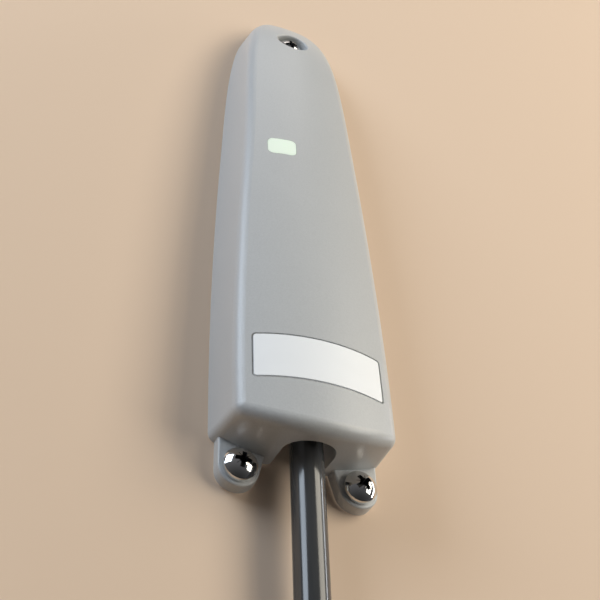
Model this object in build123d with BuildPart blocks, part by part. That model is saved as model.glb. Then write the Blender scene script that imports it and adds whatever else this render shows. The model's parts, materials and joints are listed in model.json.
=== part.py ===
from build123d import *
import os
from functools import cache
from math import asin, atan, atan2, cos, hypot, pi, radians, sin, sqrt, tan

# Wall-mounted soil moisture sensor with a wired soil probe. All sizes in millimetres.
# The origin is where the axis of the top wall screw meets the wall plane. +X is to the right
# as one faces the sensor, +Y goes into the wall, +Z is up, so the housing stands on the -Y side.

# ---- Housing form: level sections lofted from a foot plane to the tip -------------------------
half_width = 21.1            # of the widest section, at the wall
depth = 19.75                # from the wall to the middle of the crowned front
form_top = 20.3              # tip of the form above the top wall screw
foot_spare = 6.5             # of the form below the bowed lower edge that trims it
width_shares = (0.977, 1.0, 0.991, 0.954, 0.902, 0.847, 0.755, 0.576, 0.249)
depth_shares = (1.0, 0.97, 0.93, 0.889, 0.831, 0.745, 0.622, 0.425, 0.19)
tip_share = 0.45             # least share of a section that is left where the form is pulled in
section_count = 20           # level sections of the loft
tip_stop = 0.99              # the last section, as a share of the way along the outline
crown_radius = 44.0          # of the front across the width
foot_draft = 0.085            # how far the side walls lean in per millimetre of depth, at the foot
head_draft = 0.24            # and from draft_top upwards
draft_top = -35.0
least_shoulder = 0.6         # shoulder radius that an inset form keeps
shoulder_share = 0.5         # most of a section's depth that its shoulder takes
shoulder_radius = 3.9        # between the side walls and the front
lower_drop = 14.0            # from the notch ceiling to the middle of the bowed lower edge, at the wall
lower_slope = 4.7            # of the lower face, down towards the front, in degrees
bow_radius = 52.5            # of the lower edge, seen from the front
lower_fillet = 2.8           # round between the lower face and the skin
skin = 2.6                   # housing wall
clear = 0.3                  # running gap between the cover and the housing
fit_gap = 0.1                # gap of small pieces in their seats
small_step = 0.1             # less than any real step of the form

# ---- Wall screws and what they pass through ----------------------------------------------------
head_radius = 4.0
head_rim = 0.9               # straight rim under the dome
head_dome = 2.7
cross_width, cross_slot = 4.3, 1.1
cross_core = 2.1             # square between the arms of the cross, an eighth of a turn round
cross_depth = 1.9
cross_taper = 8.0
screw_length = 32.0
thread_radius = 2.1
neck_radius = 1.9
screw_tip = 0.2
top_cross_turn = 12.0        # how far the cross of each screw is turned, in degrees
lower_cross_turns = (-18.0, -30.0)
point_length = 4.0
screw_hole_radius = 2.25
lower_screw_setback = 6.65   # of a lower screw from the widest side of the housing
lower_screw_drop = 3.5       # of the lower screws under the lower edge
ear_thickness = 3.2
ear_radius = 4.9
ear_edge_fillet = 0.5
ear_root_inner = 8.3         # where the slanting edge of an ear meets the housing
ear_overlap = 3.5            # how far an ear runs up inside the housing
recess_radius = 4.95         # counterbore of the top screw
recess_seat = 7.1            # from the wall to the seat of the top screw
tunnel_wall = 1.8            # of the tube round the top screw
tunnel_pocket_foot = -8.3    # cored-out head of the housing
rib_thickness = 1.2
rib_setback = 0.6            # of the ribs from the wall
recess_fillet = 0.4

# ---- Cable, its notch and its seat --------------------------------------------------------------
cable_radius = 3.9
cable_y = -7.55              # cable axis, from the wall
notch_radius = 6.3
notch_forward = 0.9          # of the notch's axis in front of the cable's
notch_drop = 9.7             # of the notch ceiling under the cable clamp
notch_corner = 1.9           # round of the notch's corners at the wall
slot_radius = 4.9            # of the grommet's waist in the notch ceiling
flange_rise = 1.1            # grommet flange past its waist
flange_thickness = 1.2
notch_wall = 2.6             # of the housing beside the notch
foot_pocket_depth = 7.3      # under the notch ceiling
ceiling_thickness = 4.5      # of the housing above the notch

clamp_drop = 7.8             # of the clamp's middle under the battery holder
clamp_length = 4.5
clamp_screw_x = 8.2
clamp_relief = 0.35          # of the clamp's feet past the cable's axis
clamp_bar = 1.8
clamp_ring = 0.8
saddle_length = 3.0
sheath_past_clamp = 0.25     # end of the cable's sheath above the clamp

# ---- Sealed compartment and its cover -----------------------------------------------------------
compartment_head = -11.0
cover_thickness = 2.6
gasket_thickness = 0.8
cover_lip = 1.1              # housing wall left outside the cover
cover_corner = 2.0
cover_gap_lip = 0.2          # between the gasket and the rebate
gasket_width = 1.2
cover_panel_depth = 0.5      # shallow panel in the cover's back
cover_panel_width, cover_panel_height, cover_panel_corner = 24.0, 96.0, 3.0
cover_foot_screw_x, cover_foot_screw_rise = 13.6, 8.4     # the lower two, over the notch ceiling
cover_head_screw_x, cover_head_screw_z = 10.2, -15.4
cover_post_radius = 2.8
post_pilot_gap = 0.1         # of a pilot hole round its screw
cover_screw_radius = 1.25
cover_screw_head = 2.3
cover_screw_tip = 0.3
cover_screw_length = 10.0
cover_screw_angle = 90.0     # of the countersunk heads

# ---- Indicator window and label ------------------------------------------------------------------
window_x, window_z = -7.1, -59.7
window_width, window_height = 8.0, 6.6
window_corner = 1.7
lens_flange = 1.0
lens_flange_depth = 1.2
light_pipe_radius = 2.2
light_pipe_reach = 5.0       # from the lamp into the lens
led_size = 3.2
led_height = 1.0
label_rise = 4.0             # of the label's middle over the notch ceiling
label_width, label_height = 31.4, 12.1
label_corner = 0.6
label_thickness = 0.5
label_groove = 0.45          # gap round the label in its recess

# ---- Circuit board and what is on it ---------------------------------------------------------------
board_front_y = -9.0
board_thickness = 1.6
board_corner = 1.5
part_chamfer = 0.15
led_corner = 0.4
chip_corner = 0.4
board_width, board_foot, board_head = 25.0, -64.8, -18.8
board_screw_spots = ((10.0, -53.5), (-10.0, -52.0), (0.0, -21.6))
lamp_lens_radius = 1.2
shield_width, shield_height, shield_depth = 12.0, 14.0, 2.0
shield_x, shield_z = 0.0, -40.0
shield_corner = 0.8
chip_size, chip_depth = 7.0, 1.0
chip_x, chip_z = -3.8, -56.0
capacitor_radius, capacitor_length = 2.1, 8.0
capacitor_x, capacitor_z = 6.5, -28.5
antenna_radius, antenna_wire, antenna_pitch = 1.8, 0.35, 1.3
antenna_turns = 6
antenna_x, antenna_z = -9.0, -32.0
header_left, header_right = 2.5, 9.0
header_rise, header_height = 0.4, 6.0
header_depth = 3.4
header_wall = 0.6
plug_tail = 0.9              # of the wire plug past its socket
small_post_radius = 2.4
small_screw_radius = 1.1
small_head_radius = 2.0
small_head_height = 1.5
small_screw_length = 4.6
small_slot_length, small_slot_width, small_slot_depth = 2.4, 0.6, 0.9

# ---- Battery holder ----------------------------------------------------------------------------------
cell_radius, cell_length = 5.25, 43.5
nub_radius, nub_length = 1.9, 1.0
cell_spacing = 11.8
cell_y = -8.3
cradle_gap = 0.1
cradle_wall = 0.75
holder_head = -70.5
end_wall = 1.3
spring_length = 3.1
contact_thickness = 0.4
contact_size = 7.0
contact_corner = 1.0
contact_strip_far, contact_strip_near = -6.2, -4.8
lug_width, lug_near, lug_reach = 3.0, -3.6, 3.4
spring_wire, spring_turns = 0.3, 3
spring_wide, spring_cone = 3.0, 20.0
cradle_open_y = -6.3         # the cradles are open from here to the cover
end_wall_open_y = -4.2
nub_round = 0.3
cell_round = 0.6
tab_y = -12.2                # housing side of the holder's screw tabs
tab_thickness = 1.0
tab_width = 6.0
tab_screw_reach = 2.6        # from the end wall to the tab's screw
tab_reach = 5.0

# ---- Wires inside the case -----------------------------------------------------------------------------
wire_radius = 0.45
wire_pitch = 1.1
wire_bend = 1.0
wire_lane_gap = 0.25         # between the battery holder and the signal wires beside it
wire_lane_shift = 1.3        # of the first wire from the plug's line toward the cover
wire_turn_drop = 0.8         # under the holder, where the first signal wire turns in to the cable
wire_lead_out = 1.0          # straight out of the plug
wire_plug_rise = 2.15        # of the lowest signal wire over the board's foot
lead_bend = 0.8
lead_rise = 0.6              # of the leads' lower ends over the holder
lead_board_rise = 2.2        # of the leads' joints over the board's foot
black_lead_x = 0.8
wire_y = -5.8
lead_radius = 0.45

# ---- Free cable, its coil and the soil probe ----------------------------------------------------------
coil_drop = -251.0           # height of the coil's centre
coil_outer_turn = 56.0       # radius of the outermost turn
coil_layer_turns = 2.75      # turns in each of the two layers
coil_rear_y = -5.2
coil_front_y = -13.0
coil_edge_round = 3.8
tie_width, tie_thickness = 12.0, 1.0
tie_slack = 1.2              # of the tie across the curved bundle
bend_share = 0.45            # of the shorter run that each arc of the free cable takes
cable_bend_z, cable_wall_z = -190.0, -238.0
lead_out_z = -262.0
probe_lead_out = 34.0        # straight cable between the coil and the probe
boot_length = 18.0
boot_top_radius = 4.9
boot_radius = 5.4
boot_groove_count, boot_groove_width, boot_groove_depth = 4, 1.2, 0.7
probe_width, probe_thickness, probe_length = 20.0, 11.0, 44.0
prong_radius, prong_length, prong_pitch = 1.5, 42.0, 6.0
prong_point = 5.0
prong_seat = 8.0             # length of prong held in the head
probe_corner = 3.0
probe_edge_fillet = 1.0

mostly_along = 0.9           # share of an edge's direction that counts as running along an axis

# ---- Worked out ------------------------------------------------------------------------------------------
cable_diameter = 2 * cable_radius
bay_length = cell_length + nub_length + spring_length + 2 * contact_thickness
holder_foot = holder_head - bay_length - 2 * end_wall
clamp_z = holder_foot - clamp_drop
notch_top = clamp_z - notch_drop
notch_y = cable_y - notch_forward
lower_edge = notch_top - lower_drop
form_foot = lower_edge - foot_spare
lower_screw_z = lower_edge - lower_screw_drop
screw_spacing = 2 * (half_width - lower_screw_setback)
foot_pocket_floor = notch_top - foot_pocket_depth
label_z = notch_top + label_rise
cover_foot_screw_z = notch_top + cover_foot_screw_rise
cover_screw_spots = (
    (-cover_foot_screw_x, cover_foot_screw_z),
    (cover_foot_screw_x, cover_foot_screw_z),
    (-cover_head_screw_x, cover_head_screw_z),
    (cover_head_screw_x, cover_head_screw_z),
)
compartment_foot = notch_top + ceiling_thickness
head_height = head_rim + head_dome
lead_y = lug_near - contact_thickness - lead_radius
spring_rise = spring_length - 2 * spring_wire
dome_radius = (head_radius**2 + head_dome**2) / (2 * head_dome)
cover_inner_y = -cover_thickness
ledge_y = -cover_thickness - gasket_thickness
rebate_foot = notch_top + cover_lip
rebate_head = compartment_head + skin - cover_lip
board_rear_y = board_front_y + board_thickness
cradle_radius = cell_radius + cradle_gap
holder_radius = cradle_radius + cradle_wall
screw_sides = ((-1, "left"), (1, "right"))
cable_exit = notch_top - flange_thickness
sheath_end = clamp_z + clamp_length / 2 + sheath_past_clamp
header_foot = board_foot + header_rise
header_head = header_foot + header_height
header_z = (header_foot + header_head) / 2
wire_plug_z = board_foot + wire_plug_rise
wire_turn_z = holder_foot - wire_turn_drop
lead_bottom_z = holder_head + lead_rise
lead_board_z = board_foot + lead_board_rise
coil_x = coil_outer_turn
coil_pitch = cable_diameter
coil_inner_turn = coil_outer_turn - coil_layer_turns * coil_pitch
boot_top = coil_drop - probe_lead_out
head_top = boot_top - boot_length
head_bottom = head_top - probe_length
holder_screw_spots = ((0, holder_foot - tab_screw_reach), (0, holder_head + tab_screw_reach))
clamp_screw_spots = ((-clamp_screw_x, clamp_z), (clamp_screw_x, clamp_z))
clamp_foot, clamp_head = clamp_z - clamp_length / 2, clamp_z + clamp_length / 2
clamp_seat = -cable_y + fit_gap + clamp_relief
small_hole_depth = small_screw_length - tab_thickness + fit_gap
cover_hole_depth = cover_screw_length - cover_thickness + fit_gap


@cache
def form(inset=0.0):
    """The housing's outer form pulled in by inset: straight back, drafted sides, crowned front."""
    height = form_top - inset - form_foot
    outline = []
    for index, (width_share, depth_share) in enumerate(zip(width_shares, depth_shares)):
        w = half_width * width_share
        d = depth * depth_share
        rise = sin(pi / 2 * index / len(width_shares))
        across, deep = max(w - inset, tip_share * w), max(d - inset, tip_share * d)
        outline.append((across, deep, form_foot + height * rise))
    # one smooth curve whose points hold the half width, the depth and the height of a section
    course = Spline(*outline, (0, 0, form_foot + height))
    crown = crown_radius - inset
    with BuildPart() as body:
        for index in range(section_count):
            w, d, z = course @ (tip_stop * index / (section_count - 1))
            climb = min(1.0, (z - form_foot) / (draft_top - form_foot))
            draft = foot_draft + (head_draft - foot_draft) * sin(pi / 2 * climb) ** 2
            # the shoulder's centre is one radius inside both the side wall and the crown
            r = min(max(shoulder_radius - inset, least_shoulder), shoulder_share * d)
            reach = w - r * hypot(1, draft)
            a = 1 + draft**2
            b = -2 * draft * reach - 2 * (d - crown)
            c = reach**2 + (d - crown) ** 2 - (crown - r) ** 2
            y = (-b + sqrt(b * b - 4 * a * c)) / (2 * a)
            x = reach - draft * y
            low, high = atan(draft), atan2(y - (d - crown), x)
            right = [(x + r * cos(t), -y - r * sin(t)) for t in (low, (low + high) / 2, high)]
            left = [(-px, py) for px, py in right]
            with BuildSketch(Plane.XY.offset(z)):
                with BuildLine():
                    Line((w, 0), right[0])
                    ThreePointArc(*right)
                    ThreePointArc(right[2], (0, -d), left[2])
                    ThreePointArc(*reversed(left))
                    Polyline(left[0], (-w, 0), (w, 0))
                make_face()
        loft()
    return body.part


def between(near, far, z_low, z_high, inset=0.0):
    """What the form pulled in by inset holds from near to far off the wall, between two heights."""
    with BuildPart() as piece:
        add(form(inset))
        with BuildSketch(Plane.XZ.offset(near)):
            with Locations((0, (z_low + z_high) / 2)):
                Rectangle(4 * half_width, z_high - z_low)
        extrude(amount=far - near, mode=Mode.INTERSECT)
    return piece.part


def skinned(sketch, outer_inset, inner_inset):
    """The part of a sketch's prism along Y that lies between two inset copies of the form."""
    with BuildPart() as piece:
        add(form(outer_inset))
        add(form(inner_inset), mode=Mode.SUBTRACT)
        extrude(sketch, amount=2 * depth, mode=Mode.INTERSECT)
    return piece.part


def window_outline(grow, corner):
    """Outline of the indicator window, grown on every side."""
    with BuildSketch(Plane.XZ) as outline:
        with Locations((window_x, window_z)):
            RectangleRounded(window_width + 2 * grow, window_height + 2 * grow, corner)
    return outline.sketch


def label_outline(grow):
    """Outline of the label, grown on every side."""
    with BuildSketch(Plane.XZ) as outline:
        with Locations((0, label_z)):
            RectangleRounded(label_width + 2 * grow, label_height + 2 * grow, label_corner + grow)
    return outline.sketch


def round_bosses(spots, radius, near):
    """Round bosses along Y, from near off the wall into the front skin."""
    with BuildPart() as bosses:
        with BuildSketch(Plane.XZ.offset(near)):
            with Locations(*spots):
                Circle(radius)
        extrude(amount=2 * depth)
        add(form(skin / 2), mode=Mode.INTERSECT)
    return bosses.part


def pegs(spots, radius, near, length):
    """Round pegs along Y at the given places, from near off the wall towards the front."""
    with BuildPart() as group:
        with BuildSketch(Plane.XZ.offset(near)):
            with Locations(*spots):
                Circle(radius)
        extrude(amount=length)
    return group.part


def finish(piece, label):
    """Label a finished piece and write its STEP file."""
    piece.part.label = label
    export_step(piece.part, f"parts/{label}.step")


def pan_screws(label, groups):
    """Small pan-head screws pointing to the front, at their spots, heads bearing at seat off the wall."""
    with BuildPart() as screws:
        for spots, seat in groups:
            for radius, start, length in (
                (small_screw_radius, seat, small_screw_length),
                (small_head_radius, seat - small_head_height, small_head_height),
            ):
                with BuildSketch(Plane.XZ.offset(start)):
                    with Locations(*spots):
                        Circle(radius)
                extrude(amount=length)
            with BuildSketch(Plane.XZ.offset(seat - small_head_height)):
                with Locations(*spots):
                    Rectangle(small_slot_length, small_slot_width)
                    Rectangle(small_slot_width, small_slot_length)
            extrude(amount=small_slot_depth, mode=Mode.SUBTRACT)
    finish(screws, label)


def wall_screw(label, x, seat, z, turn):
    """A pan-head wall screw along +Y whose head bears at seat off the wall."""
    rim_angle = asin(head_radius / dome_radius)
    dome_centre = dome_radius - head_height
    half_way = (dome_radius * sin(rim_angle / 2), dome_centre - dome_radius * cos(rim_angle / 2))
    with BuildPart() as screw:
        with BuildSketch(Plane.XY):
            with BuildLine():
                Polyline(
                    (0, -head_height),
                    (0, screw_length),
                    (screw_tip, screw_length),
                    (thread_radius, screw_length - point_length),
                    (thread_radius, seat),
                    (neck_radius, seat),
                    (neck_radius, 0),
                    (head_radius, 0),
                    (head_radius, -head_rim),
                )
                ThreePointArc((head_radius, -head_rim), half_way, (0, -head_height))
            make_face()
        revolve(axis=Axis.Y)
        with BuildSketch(Plane.XZ.offset(head_height)):
            Rectangle(cross_width, cross_slot, rotation=turn)
            Rectangle(cross_slot, cross_width, rotation=turn)
            Rectangle(cross_core, cross_core, rotation=turn + 45)
        extrude(amount=-cross_depth, taper=cross_taper, mode=Mode.SUBTRACT)
    screw.part = screw.part.moved(Location((x, -seat, z)))
    finish(screw, label)


os.makedirs("parts", exist_ok=True)

# ---- Front housing: one moulding with ears, wall-screw tunnel, notch, posts and cable saddle ---
ear_spots = [(side * screw_spacing / 2, lower_screw_z) for side, _ in screw_sides]
tunnel_spot = [(0, 0)]
small_posts = (
    (board_screw_spots, -board_front_y),
    (holder_screw_spots, -tab_y),
    (clamp_screw_spots, clamp_seat),
)
cavities = [
    between(0, 2 * depth, compartment_foot, compartment_head, skin),
    between(0, 2 * depth, tunnel_pocket_foot, form_top, skin),
    between(0, -ledge_y, rebate_foot, rebate_head, cover_lip),
]
label_recess = skinned(label_outline(label_groove), 0.0, label_thickness)
bosses = [
    round_bosses(tunnel_spot, recess_radius + tunnel_wall, 0),
    round_bosses(cover_screw_spots, cover_post_radius, -cover_inner_y),
    *(round_bosses(spots, small_post_radius, near) for spots, near in small_posts),
]

holes = [
    pegs(cover_screw_spots, cover_screw_radius + post_pilot_gap, -cover_inner_y, cover_hole_depth),
    *(pegs(spots, small_screw_radius + post_pilot_gap, near, small_hole_depth) for spots, near in small_posts),
    pegs(ear_spots, screw_hole_radius, 0, ear_thickness),
    pegs(tunnel_spot, screw_hole_radius, 0, recess_seat),
]

with BuildPart() as foot_pockets:
    add(between(0, 2 * depth, foot_pocket_floor, notch_top, skin))
    with BuildSketch(Plane.XZ):
        with Locations((0, lower_edge)):
            Rectangle(2 * (notch_radius + notch_wall), 4 * (notch_top - lower_edge))
    extrude(amount=2 * depth, mode=Mode.SUBTRACT)

with BuildPart() as head_ribs:
    with BuildSketch(Plane.XZ.offset(rib_setback)):
        Rectangle(2 * half_width, rib_thickness)
        with Locations((0, form_top / 2)):
            Rectangle(rib_thickness, form_top)
    extrude(amount=2 * depth)
    add(form(skin / 2), mode=Mode.INTERSECT)

with BuildPart() as cable_saddle:
    with BuildSketch(Plane.XZ.offset(clamp_seat)):
        with Locations((0, clamp_z)):
            Rectangle(2 * clamp_screw_x, saddle_length)
    extrude(amount=2 * depth)
    add(form(skin / 2), mode=Mode.INTERSECT)

with BuildPart() as ears:
    for x, z in ear_spots:
        side = x / abs(x)
        with BuildSketch(Plane.XZ):
            with Locations((x, z)):
                Circle(ear_radius)
            root = lower_edge + bow_radius - sqrt(bow_radius**2 - ear_root_inner**2)
            with BuildLine():
                Polyline(
                    (side * ear_root_inner, root),
                    (side * ear_root_inner, root + ear_overlap),
                    (x + side * ear_radius, root + ear_overlap),
                    (x + side * ear_radius, z),
                    (x, z),
                    close=True,
                )
            make_face()
            make_hull()
        extrude(amount=ear_thickness)
    fillet(ears.faces().sort_by(Axis.Y)[:2].edges(), ear_edge_fillet)

with BuildPart() as front_housing:
    add(form())
    # bowed lower edge, rounded into the sides and the front
    with BuildSketch(Plane.XZ):
        with Locations((0, lower_edge + bow_radius)):
            Circle(bow_radius)
            Rectangle(4 * half_width, 4 * bow_radius, align=(Align.CENTER, Align.MIN))
    extrude(amount=2 * depth, dir=Vector(0, -1, -tan(radians(lower_slope))), mode=Mode.INTERSECT)
    lower_face = front_housing.faces().sort_by(Axis.Z)[0]
    fillet([edge for edge in lower_face.edges() if edge.center().Y < -small_step], lower_fillet)
    for cavity in cavities:
        add(cavity, mode=Mode.SUBTRACT)
    add(foot_pockets.part, mode=Mode.SUBTRACT)
    add(label_recess, mode=Mode.SUBTRACT)
    for boss in (*bosses, head_ribs.part, cable_saddle.part, ears.part):
        add(boss)
    # notch for the cable, open below and at the wall, and the grommet's slot in its ceiling
    for radius, y, bottom, top in (
        (notch_radius, notch_y, form_foot, notch_top),
        (slot_radius, cable_y, notch_top, compartment_foot),
    ):
        with BuildSketch(Plane.XY.offset(bottom)):
            with Locations((0, y)):
                Circle(radius)
                Rectangle(2 * radius, -y, align=(Align.CENTER, Align.MIN))
        extrude(amount=top - bottom, mode=Mode.SUBTRACT)
    notch_edges = [
        edge
        for edge in front_housing.edges().filter_by(Axis.Z)
        if edge.center().Z < notch_top and abs(edge.center().Y) < small_step
    ]
    notch_edges.sort(key=lambda edge: abs(abs(edge.center().X) - notch_radius))
    fillet(notch_edges[:2], notch_corner)
    # the cable's bed in the saddle
    with BuildSketch(Plane.XY.offset(clamp_foot)):
        with Locations((0, cable_y)):
            Circle(cable_radius + fit_gap)
    extrude(amount=clamp_head - clamp_foot, mode=Mode.SUBTRACT)
    # indicator window, pilot holes and wall-screw holes
    extrude(window_outline(0.0, window_corner), amount=2 * depth, mode=Mode.SUBTRACT)
    for hole in holes:
        add(hole, mode=Mode.SUBTRACT)
    add(pegs(tunnel_spot, recess_radius, recess_seat, depth), mode=Mode.SUBTRACT)
    rim = front_housing.edges(Select.LAST).sort_by(Axis.Y)[0]
    fillet(rim, recess_fillet)
finish(front_housing, "front_housing")

# ---- Rear cover, its gasket and its screws -------------------------------------------------------
cover_blank = between(0, cover_thickness, rebate_foot + clear, rebate_head - clear, cover_lip + clear)
with BuildPart() as rear_cover:
    add(cover_blank)
    corners = [edge for edge in rear_cover.edges() if abs((edge % 0.5).Y) > mostly_along]
    fillet(corners, cover_corner)
    with BuildSketch(Plane.XZ):
        with Locations((0, (rebate_foot + rebate_head) / 2)):
            RectangleRounded(cover_panel_width, cover_panel_height, cover_panel_corner)
    extrude(amount=cover_panel_depth, mode=Mode.SUBTRACT)
    with Locations(*(Plane((x, 0, z), z_dir=(0, 1, 0)) for x, z in cover_screw_spots)):
        CounterSinkHole(cover_screw_radius + fit_gap, cover_screw_head + fit_gap, counter_sink_angle=cover_screw_angle)
finish(rear_cover, "rear_cover")

gasket_outer = between(
    0,
    -ledge_y,
    rebate_foot + clear + cover_gap_lip,
    rebate_head - clear - cover_gap_lip,
    cover_lip + cover_gap_lip,
)
gasket_inner = between(
    0,
    2 * depth,
    rebate_foot + clear + cover_gap_lip + gasket_width,
    rebate_head - clear - cover_gap_lip - gasket_width,
    cover_lip + cover_gap_lip + gasket_width,
)
with BuildPart() as cover_gasket:
    add(gasket_outer)
    fillet([edge for edge in cover_gasket.edges() if abs((edge % 0.5).Y) > mostly_along], cover_corner)
    add(gasket_inner, mode=Mode.SUBTRACT)
    split(bisect_by=Plane.XZ.offset(cover_thickness), keep=Keep.TOP)
finish(cover_gasket, "cover_gasket")

with BuildPart() as cover_screws:
    with BuildSketch(Plane.XY):
        with BuildLine():
            Polyline(
                (0, 0),
                (cover_screw_head, 0),
                (cover_screw_radius, cover_screw_radius - cover_screw_head),
                (cover_screw_radius, -cover_screw_length + cover_screw_radius),
                (cover_screw_tip, -cover_screw_length),
                (0, -cover_screw_length),
                close=True,
            )
        make_face()
    revolve(axis=Axis.Y)
    with BuildSketch(Plane.XZ):
        Rectangle(small_slot_length, small_slot_width)
        Rectangle(small_slot_width, small_slot_length)
    extrude(amount=small_slot_depth, mode=Mode.SUBTRACT)
    one_screw = cover_screws.part
    moved = [one_screw.moved(Location((x, 0, z))) for x, z in cover_screw_spots]
cover_screws.part = Part() + moved
finish(cover_screws, "cover_screws")

# ---- Wall screws ---------------------------------------------------------------------------------------
wall_screw("top_wall_screw", 0, recess_seat, 0, top_cross_turn)
for (side, name), turn in zip(screw_sides, lower_cross_turns):
    wall_screw(f"{name}_wall_screw", side * screw_spacing / 2, ear_thickness, lower_screw_z, turn)

# ---- Indicator window: a lens with a flange inside and a light pipe down to the lamp -----------------
lens_face = skinned(window_outline(-fit_gap, window_corner - fit_gap), 0.0, skin)
lens_rim = skinned(window_outline(lens_flange, window_corner), skin, skin + lens_flange_depth)
lamp_y = board_front_y - led_height
with BuildPart() as indicator_lens:
    add(lens_face)
    add(lens_rim)
    with BuildSketch(Plane.XZ.offset(-lamp_y + fit_gap)):
        with Locations((window_x, window_z)):
            Circle(light_pipe_radius)
    extrude(amount=light_pipe_reach)
finish(indicator_lens, "indicator_lens")

# ---- Label plate, flush with the front ------------------------------------------------------------------
with BuildPart() as label_plate:
    add(skinned(label_outline(0.0), 0.0, label_thickness))
finish(label_plate, "label_plate")

# ---- Circuit board and its parts ------------------------------------------------------------------------
board_z = (board_foot + board_head) / 2


def block(x, z, width, height, near, thickness, corner=0.0):
    """A block along Y whose back lies near off the wall, with rounded corners if asked."""
    with BuildPart() as piece:
        with BuildSketch(Plane.XZ.offset(near)):
            with Locations((x, z)):
                if corner:
                    RectangleRounded(width, height, corner)
                else:
                    Rectangle(width, height)
        extrude(amount=thickness)
    return piece.part


with BuildPart() as main_board:
    add(block(0, board_z, board_width, board_head - board_foot, -board_rear_y, board_thickness, board_corner))
    holes = pegs(board_screw_spots, small_screw_radius + fit_gap, -board_rear_y, board_thickness)
    add(holes, mode=Mode.SUBTRACT)
finish(main_board, "main_board")

with BuildPart() as status_led:
    add(block(window_x, window_z, led_size, led_size, -board_front_y, led_height / 2, led_corner))
    add(pegs([(window_x, window_z)], lamp_lens_radius, -board_front_y, led_height))
finish(status_led, "status_led")

rear_parts = (
    ("radio_shield", shield_x, shield_z, shield_width, shield_height, shield_depth, shield_corner),
    ("controller_chip", chip_x, chip_z, chip_size, chip_size, chip_depth, chip_corner),
)
for label, x, z, width, height, rise, corner in rear_parts:
    with BuildPart() as rear_part:
        add(block(x, z, width, height, -board_rear_y - rise, rise, corner))
        chamfer(rear_part.faces().sort_by(Axis.Y)[-1].edges(), part_chamfer)
    finish(rear_part, label)

with BuildPart() as storage_capacitor:
    with BuildSketch(Plane.XY.offset(capacitor_z - capacitor_length / 2)):
        with Locations((capacitor_x, board_rear_y + capacitor_radius)):
            Circle(capacitor_radius)
    extrude(amount=capacitor_length)
    fillet(storage_capacitor.faces().sort_by(Axis.Z)[-1].edges(), part_chamfer)
finish(storage_capacitor, "storage_capacitor")

with BuildPart() as antenna_coil:
    foot = Location((antenna_x, board_rear_y + antenna_radius + antenna_wire, antenna_z))
    with BuildLine(Plane(foot)):
        turns = Helix(antenna_pitch, antenna_pitch * antenna_turns, antenna_radius)
    with BuildSketch(Plane(origin=turns @ 0, z_dir=turns % 0)):
        Circle(antenna_wire)
    sweep(is_frenet=True)
finish(antenna_coil, "antenna_coil")

header_width = header_right - header_left
header_x = (header_left + header_right) / 2
header_inside = header_depth - 2 * header_wall
with BuildPart() as probe_header:
    header_rear = -board_rear_y - header_depth
    add(block(header_x, header_z, header_width, header_head - header_foot, header_rear, header_depth))
    with BuildSketch(Plane.YZ.offset(header_right)):
        with Locations((board_rear_y + header_depth / 2, header_z)):
            Rectangle(header_inside, header_head - header_foot - 2 * header_wall)
    extrude(amount=header_wall - header_width, mode=Mode.SUBTRACT)
finish(probe_header, "probe_header")

plug_end = header_right + plug_tail
with BuildPart() as probe_plug:
    with BuildSketch(Plane.YZ.offset(plug_end)):
        with Locations((board_rear_y + header_depth / 2, header_z)):
            Rectangle(header_inside - 2 * fit_gap, header_head - header_foot - 2 * header_wall - 2 * fit_gap)
    extrude(amount=header_left + header_wall + fit_gap - plug_end)
finish(probe_plug, "probe_plug")

pan_screws("board_screws", [(board_screw_spots, -board_rear_y)])
pan_screws("holder_screws", [(holder_screw_spots, -tab_y - tab_thickness)])
pan_screws("clamp_screws", [(clamp_screw_spots, clamp_seat - clamp_bar)])

# ---- Battery holder: two open cradles between end walls, with a screw tab at each end -----------------
cell_spots = [(side * cell_spacing / 2, cell_y) for side, _ in screw_sides]
bay_foot, bay_head = holder_foot + end_wall, holder_head - end_wall


def upright(spots, radius, z_low, z_high):
    """Round bars along Z at the given places across the housing."""
    with BuildPart() as bars:
        with BuildSketch(Plane.XY.offset(z_low)):
            with Locations(*spots):
                Circle(radius)
        extrude(amount=z_high - z_low)
    return bars.part


with BuildPart() as battery_holder:
    add(upright(cell_spots, holder_radius, holder_foot, holder_head))
    with BuildSketch(Plane.XY.offset(holder_foot)):
        with Locations((0, cell_y - holder_radius + cradle_wall)):
            Rectangle(cell_spacing, cradle_wall)
    extrude(amount=holder_head - holder_foot)
    with BuildSketch(Plane.XY.offset(bay_foot)):
        with Locations((0, cradle_open_y)):
            Rectangle(2 * half_width, depth, align=(Align.CENTER, Align.MIN))
    extrude(amount=bay_head - bay_foot, mode=Mode.SUBTRACT)
    with BuildSketch(Plane.XY.offset(holder_foot)):
        with Locations((0, end_wall_open_y)):
            Rectangle(2 * half_width, depth, align=(Align.CENTER, Align.MIN))
    extrude(amount=holder_head - holder_foot, mode=Mode.SUBTRACT)
    add(upright(cell_spots, cradle_radius, bay_foot, bay_head), mode=Mode.SUBTRACT)
    for z in (holder_foot - tab_reach / 2, holder_head + tab_reach / 2):
        add(block(0, z, tab_width, tab_reach, -tab_y - tab_thickness, tab_thickness))
    add(pegs(holder_screw_spots, small_screw_radius + fit_gap, -tab_y - tab_thickness, tab_thickness),
        mode=Mode.SUBTRACT)
finish(battery_holder, "battery_holder")

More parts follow.
